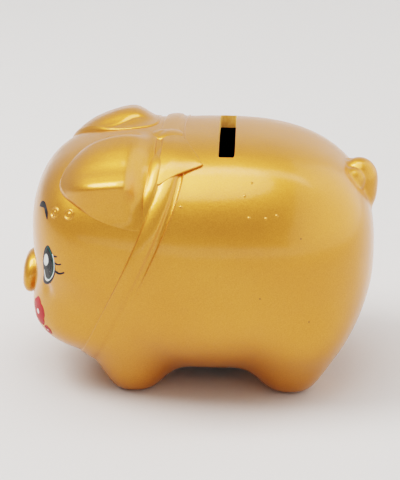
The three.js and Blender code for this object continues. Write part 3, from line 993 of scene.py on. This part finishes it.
# A torus laid on the skin round the neck; its tube's upper half carries the cloth's profile, which
# has a domed front, a hollow, a fine bead at the rear, and a rolled hem in front over part of the way.
def makeBand():
    s = bandSet
    clearSelection()
    bpy.ops.mesh.primitive_torus_add(
        major_segments=s["around"], minor_segments=s["across"], major_radius=1, minor_radius=0.25
    )
    band = nameNew("scarfBand")
    ring = rawPoints(band)
    angle = np.arctan2(ring[:, 1], ring[:, 0])
    outward = np.hypot(ring[:, 0], ring[:, 1]) - 1
    minor = np.arctan2(ring[:, 2], outward)
    turn = np.abs(np.degrees(angle))
    crown = np.clip(np.cos(angle), 0, None) ** s["crownPower"]
    top = np.cos(minor) > -1e-6
    later = np.where(angle < 0, s["farSideLater"], 0)
    rollShare = smoothStep(*s["rollStarts"], turn - later)
    rollShare = rollShare * (1 - smoothStep(*s["rollStops"], turn - later / 2))
    fade = 1 - smoothStep(s["fadeFrom"], s["fadeTo"], turn)
    thick = s["lowHeight"] + (s["thickness"] - s["lowHeight"]) * fade
    thick = thick * (1 - s["crownThinning"] * crown)
    front = -s["width"] / 2 - s["rollWidth"] * rollShare
    rear = s["width"] / 2
    x = front + (np.sin(minor) + 1) / 2 * (rear - front)
    flat = x / s["width"]
    dome = np.clip((flat + 0.5) / s["frontRound"], 0, 1)
    dome = np.sqrt(np.clip(1 - (1 - dome) ** 2, 0, 1))
    fall = 1 - smoothStep(*s["rearFall"], flat)
    bead = s["bead"]["height"] * fade * np.exp(-(((flat - s["bead"]["at"]) / s["bead"]["width"]) ** 2))
    arch = s["arch"]["top"] - s["arch"]["drop"] * ((flat - s["arch"]["middle"]) / s["arch"]["reach"]) ** 2
    cloth = thick * dome * (s["edgeShare"] + (1 - s["edgeShare"]) * fall * arch) + bead
    lap, rollHalf = s["rollLap"], s["rollWidth"] / 2
    lens = np.clip((x + s["width"] / 2 + rollHalf - lap["shift"]) / (rollHalf + lap["spread"]), -1, 1)
    roll = s["rollHeight"] * rollShare * np.sqrt(np.clip(1 - lens**2, 0, 1))
    height = np.where(flat < -0.5, roll, np.maximum(cloth, roll * (flat < lap["ends"])))
    level = np.where(top, height, -s["sunk"])
    along = -s["forward"] - s["topPull"] * crown + x
    origins = np.stack([along, np.zeros_like(x), np.full_like(x, s["axisHeight"])], 1)
    directions = unit(np.stack([s["lean"] * np.cos(angle), -np.sin(angle), np.cos(angle)], 1))
    writePoints(band, alongRays(skinDistance, origins, directions, level))
    faceOutwards(band)
    smoothByAngle(band, s["edgeAngle"])
    return band


band = makeBand()
finishPiece(band, "bank", gold, ["scarf_band"])

flapSet = {
    "rings": 40,
    "columns": 176,
    "thickness": 1.5,
    "edge": 0.045,
    "dome": 0.25,
    "domeTurns": (20, 38),
    "topThinning": 0.28,
    "topTurns": (15, 26),
    "rearThinning": 0.45,
    "rearStations": (-16, -7),
    "corners": [
        (-20.6, 51.6), (-20.2, 52.6), (-19.2, 52.0), (-16.6, 49.5), (-12.8, 46.4), (-8.6, 43.4),
        (-5.4, 41.2), (-4.7, 40.2), (-5.4, 38.4), (-7.5, 32), (-9.8, 25), (-12.2, 17.5), (-13.4, 15),
        (-15.5, 14.6), (-18.6, 16.5), (-19.3, 20), (-19.6, 28), (-20.1, 38), (-20.5, 47),
    ],
}


def makeFlap():
    s = flapSet
    outline = smoothOutline(s["corners"], s["columns"])

    def rise(share, x, turn):
        thin = s["topThinning"]
        lift = s["thickness"] * (1 - thin + thin * smoothStep(*s["topTurns"], turn))
        lift = lift * (1 - s["rearThinning"] * smoothStep(*s["rearStations"], x))
        dome = s["dome"] * (1 - share**2) * smoothStep(*s["domeTurns"], turn)
        return roundedEdge(share, lift, s["edge"]) + dome

    return padOnSkin("scarfCorner", outline, s["rings"], placeAround, rise)


flap = makeFlap()
finishPiece(flap, "bank", gold, ["scarf_end"])

knotSet = {
    "rings": 40,
    "columns": 120,
    "length": 12,
    "width": 10,
    "height": 0.95,
    "at": (-18.6, 10.2),
    "bendRadius": 36.9,
    "profile": (2.2, 0.8),
    "pinch": {"depth": 0.3, "back": 0.25, "slant": 0.4, "width": 0.2},
    "edge": 0.1,
}


def makeKnot():
    s = knotSet
    turnPerMm = degrees(1 / s["bendRadius"])
    oval = ovalOutline(s["length"], s["width"], s["columns"])
    outline = np.stack([s["at"][0] + oval[:, 0], s["at"][1] + oval[:, 1] * turnPerMm], 1)

    def rise(share, x, turn):
        u = (x - s["at"][0]) / s["length"] * 2
        v = (turn - s["at"][1]) / turnPerMm / s["width"] * 2
        dome = s["height"] * (1 - share ** s["profile"][0]) ** s["profile"][1]
        fold = s["pinch"]
        pinch = fold["depth"] * np.exp(-(((u + fold["back"] + fold["slant"] * v) / fold["width"]) ** 2))
        return dome * (1 - pinch) + s["edge"]

    return padOnSkin("scarfKnot", outline, s["rings"], placeAround, rise)


knot = makeKnot()
finishPiece(knot, "bank", gold, ["scarf_knot"])
print("neckerchief")


tailSet = {
    "ball": 6.0,
    "tip": 3.5,
    "tipSunk": 3.0,
    "height": 75.9,
    "tipDrop": 10,
    "proud": 1.0,
    "blend": 13,
    "fillet": 1.6,
    "coreBack": 9,
    "spread": 62,
    "curl": 4.4,
    "curlAt": (-1.2, 5.0, -0.5),
    "curlBlend": 0.5,
    "coreDown": 3,
    "rings": 90,
    "columns": 144,
    "walkFrom": 24.0,
    "rimFrom": 0.93,
    "rimSunk": 0.15,
    "sunk": 0.8,
    "edgeAngle": 60,
}


def makeTail():
    s = tailSet
    axis = np.array([[1.0, 0, 0]])
    rump = alongRays(skinDistance, np.array([[0, 0, s["height"]]]), axis, 0.0)[0]
    foot = alongRays(skinDistance, np.array([[0, 0, s["height"] - s["tipDrop"]]]), axis, 0.0)[0]
    ball = swelling((rump[0] + s["proud"], 0, rump[2]), (s["ball"],) * 3, 2, 2)
    tip = swelling((foot[0] - s["tipSunk"], 0, foot[2]), (s["tip"],) * 3, 2, 2)
    curlX, curlY, curlZ = s["curlAt"]
    curl = swelling((rump[0] + curlX, curlY, rump[2] + curlZ), (s["curl"],) * 3, 2, 2)

    def field(points):
        x, y, z = points.T
        lump = softUnion(distanceTo(ball, x, y, z), distanceTo(tip, x, y, z), s["blend"])
        bulge = distanceTo(curl, x, np.abs(y), z)
        return softUnion(softUnion(lump, bulge, s["curlBlend"]), skinDistance(points), s["fillet"])

    clearSelection()
    bpy.ops.mesh.primitive_uv_sphere_add(segments=s["columns"], ring_count=2 * s["rings"], radius=1)
    tail = nameNew("curledTail")
    sphere = rawPoints(tail)
    share = 1 - np.abs(np.arcsin(np.clip(sphere[:, 2], -1, 1))) / (pi / 2)
    turn = np.arctan2(sphere[:, 1], sphere[:, 0])
    core = np.array([rump[0] - s["coreBack"], 0, rump[2] - s["coreDown"]])
    opening = np.radians(share * s["spread"])
    reach = np.sin(opening)
    directions = np.stack([np.cos(opening), reach * np.sin(turn), reach * np.cos(turn)], 1)
    under = sphere[:, 2] < -1e-6
    outer = alongRays(field, core, directions, 0.0, s["walkFrom"], 90)
    buried = alongRays(skinDistance, core, directions, -s["sunk"], s["walkFrom"])
    edge = alongRays(skinDistance, core, directions, -s["rimSunk"], s["walkFrom"])
    rim = smoothStep(s["rimFrom"], 1.0, share)[:, None]
    writePoints(tail, np.where(under[:, None], buried, outer * (1 - rim) + edge * rim))
    faceOutwards(tail)
    smoothByAngle(tail, s["edgeAngle"])
    return tail


tail = makeTail()
finishPiece(tail, "bank", gold, ["tail"])
print("tail")


ringSet = {
    "rings": 20,
    "columns": 48,
    "width": 4.84,
    "height": 0.36,
    "at": [(-57.0, -31.0, 71.3), (-51.5, -35.2, 72.3)],
    "hoop": {"at": 0.72, "width": 0.13},
    "bead": {"share": 0.9, "width": 0.28},
    "lowered": 0.06,
    "domed": 0.05,
    "sunk": 0.4,
}


def makeRings():
    s = ringSet
    for number, aim in enumerate(s["at"]):
        outline = ovalOutline(s["width"], s["width"], s["columns"])

        def rise(share, u, v):
            hoop = s["height"] * np.exp(-(((share - s["hoop"]["at"]) / s["hoop"]["width"]) ** 2))
            bead = s["bead"]["share"] * s["height"] * np.exp(-((share / s["bead"]["width"]) ** 2))
            return hoop + bead - s["lowered"] + s["domed"] * (1 - share)

        name = f"browRing{number}Left"
        left = padOnSkin(name, outline, s["rings"], placeFacing(aim), rise, s["sunk"])
        right = mirrored(left, f"browRing{number}Right")
        for ring in (left, right):
            finishPiece(ring, "bank", gold)


makeRings()
print("forehead rings")


eyeSet = {
    "aim": (-59.5, -31, 51.3),
    "step": 0.05,
    "rings": 12,
    "columns": 96,
    "lashRings": 5,
    "lashColumns": 40,
    "outer": [
        (0.7, 7.6), (1.7, 7.1), (2.9, 5.7), (3.7, 4.4), (4.25, 2.2), (4.45, 0.3), (4.15, -1.5), (2.7, -4.2),
        (0.1, -7.2), (-2.6, -8.9), (-5.0, -9.3), (-5.7, -8.4), (-5.3, -7.0), (-4.4, -5.2), (-3.9, -2.8),
        (-3.5, 0.2), (-2.4, 4.0), (-0.8, 6.7),
    ],
    "white": [
        (3.2, 5.2), (3.9, 3.9), (4.2, 1.6), (3.9, -0.8), (2.2, -3.9), (-0.6, -6.6), (-2.6, -7.6),
        (-3.7, -7.1), (-3.7, -5.4), (-3.2, -3.0), (-1.0, -2.5), (1.6, 0.8), (2.2, 3.6),
    ],
    "teal": [
        (0.8, 7.3), (2.1, 6.2), (3.3, 4.5), (3.85, 1.9), (3.4, -1.2), (1.4, -4.3), (-1.0, -6.2),
        (-2.7, -5.9), (-2.9, -3.4), (-2.5, 0), (-1.4, 4), (-0.3, 6),
    ],
    "iris": [
        (0.75, 6.9), (1.8, 5.8), (2.9, 4.2), (3.45, 1.8), (3.0, -1.3), (1.1, -4.2), (-1.1, -5.9),
        (-2.6, -5.7), (-2.8, -3.4), (-2.4, 0), (-1.3, 3.9), (-0.25, 5.7),
    ],
    "pupil": [
        (0.6, 6.5), (1.8, 5.2), (2.6, 3.6), (2.7, 1.4), (1.8, -0.6), (0.6, -1.3), (-0.8, -1.2),
        (-2.1, -0.4), (-2.2, 1.4), (-1.2, 4.0), (-0.2, 5.7),
    ],
    "glint": [
        (0.0, 4.3), (0.8, 3.7), (1.05, 2.6), (0.85, 1.3), (-0.2, -0.1), (-1.3, -0.7), (-2.1, -0.3),
        (-2.3, 0.8), (-1.7, 2.7), (-0.9, 3.9),
    ],
    "lashes": [
        [(3.9, 4.75), (5.6, 4.95), (5.65, 4.7), (4.0, 4.25)],
        [(4.3, 2.35), (6.0, 2.25), (7.5, 2.75), (7.6, 2.5), (6.1, 1.75), (4.4, 1.7)],
        [(4.3, -0.6), (6.1, -1.05), (8.8, -0.1), (8.9, -0.4), (6.3, -1.75), (4.2, -1.6)],
    ],
}
browSet = {
    "aim": (-61.0, -25.0, 70.5),
    "line": [
        (-63.4, -21.0, 70.0), (-62.6, -21.7, 71.3), (-61.6, -23.6, 71.8), (-60.8, -25.7, 71.1),
        (-60.1, -27.9, 69.9), (-59.9, -29.3, 68.0),
    ],
    "halfWidth": [0.35, 0.75, 0.75, 0.7, 0.55, 0.15],
    "level": 0.05,
    "rings": 12,
    "columns": 96,
}
patchSet = {"sunk": 0.15, "edge": 0.03, "edgeDrop": 0.75}


# A thin transfer on the left cheek and its twin on the right.
def flatPatch(name, outline, aim, level, material, rings, replaced=()):
    def rise(share, u, v):
        edge = np.clip((share - (1 - patchSet["edge"])) / patchSet["edge"], 0, 1)
        return level * np.sqrt(np.clip(1 - edge**2 * patchSet["edgeDrop"], 0, 1))

    left = padOnSkin(name + "Left", outline, rings, placeFacing(aim), rise, patchSet["sunk"])
    right = mirrored(left, name + "Right")
    finishPiece(left, "bank", material, [r + "_left" for r in replaced])
    finishPiece(right, "bank", material, [r + "_right" for r in replaced])


def makeEyes():
    s = eyeSet
    layers = [
        ("eyeOutline", "outer", blackInk, ["eye"]),
        ("eyeWhite", "white", whiteInk, []),
        ("eyeTealEdge", "teal", tealInk, []),
        ("eyeIris", "iris", irisInk, []),
        ("eyePupil", "pupil", blackInk, []),
        ("eyeGlint", "glint", whiteInk, []),
    ]
    aim, slot = s["aim"], "black_transfer"
    for number, (name, key, ink, replaced) in enumerate(layers):
        outline, level = smoothOutline(s[key], s["columns"]), (number + 1) * s["step"]
        flatPatch(name, outline, aim, level, ink, s["rings"], replaced)
    for number, lash in enumerate(s["lashes"]):
        outline = smoothOutline(lash, s["lashColumns"])
        flatPatch(f"lash{number}", outline, aim, s["step"], blackInk, s["lashRings"])


makeEyes()


# The brow is a tapered stroke along points of the forehead.
def makeBrow():
    s = browSet
    aim = np.array(s["aim"])
    outward, right, up = faceAxes(aim)
    flat = []
    for point in np.array(s["line"]):
        ray = point - faceCore
        hit = faceCore + ray * ((aim - faceCore) @ outward) / (ray @ outward) - aim
        flat.append((hit @ right, hit @ up))
    flat = np.array(flat)
    tangent = unit(np.gradient(flat, axis=0))
    side = np.stack([-tangent[:, 1], tangent[:, 0]], 1)
    half = np.array(s["halfWidth"])[:, None]
    outline = np.vstack([flat + side * half, (flat - side * half)[::-1]])
    outline = smoothOutline(outline, s["columns"])
    flatPatch("brow", outline, s["aim"], s["level"], blackInk, s["rings"], ["brow"])


makeBrow()

blossomSet = {
    "blossom": {"radius": 5.6, "across": 25.5, "drop": 21},
    "bud": {"radius": 2.6, "across": 33, "drop": 31},
    "petals": 5,
    "notch": 0.2,
    "petalPower": 0.6,
    "heart": 0.36,
    "levels": (0.06, 0.11),
    "rings": (16, 6),
    "columns": (120, 32),
    "faceX": -67.7,
    "topZ": 49.1,
}


# Red five-petalled blossoms with a pale heart, a large and a small one on each side of the chin.
def makeBlossoms():
    s = blossomSet
    turn = np.linspace(0, 2 * pi, s["columns"][0], endpoint=False)
    petal = 1 - s["notch"] + s["notch"] * np.abs(np.cos(s["petals"] * turn / 2)) ** s["petalPower"]
    for name in ("blossom", "bud"):
        flower = s[name]
        aim = (s["faceX"], -flower["across"], s["topZ"] - flower["drop"])
        radius = flower["radius"] * petal
        outline = np.stack([radius * np.sin(turn), radius * np.cos(turn)], 1)
        flatPatch(name, outline, aim, s["levels"][0], redInk, s["rings"][0], [name])
        heart = ovalOutline(s["heart"] * flower["radius"], s["heart"] * flower["radius"], s["columns"][1])
        flatPatch(name + "Heart", heart, aim, s["levels"][1], whiteInk, s["rings"][1])


makeBlossoms()
print("transfers")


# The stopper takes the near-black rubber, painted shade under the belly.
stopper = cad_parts["stopper"]
for holder in stopper.material_slots:
    holder.material = stopperShadeRubber
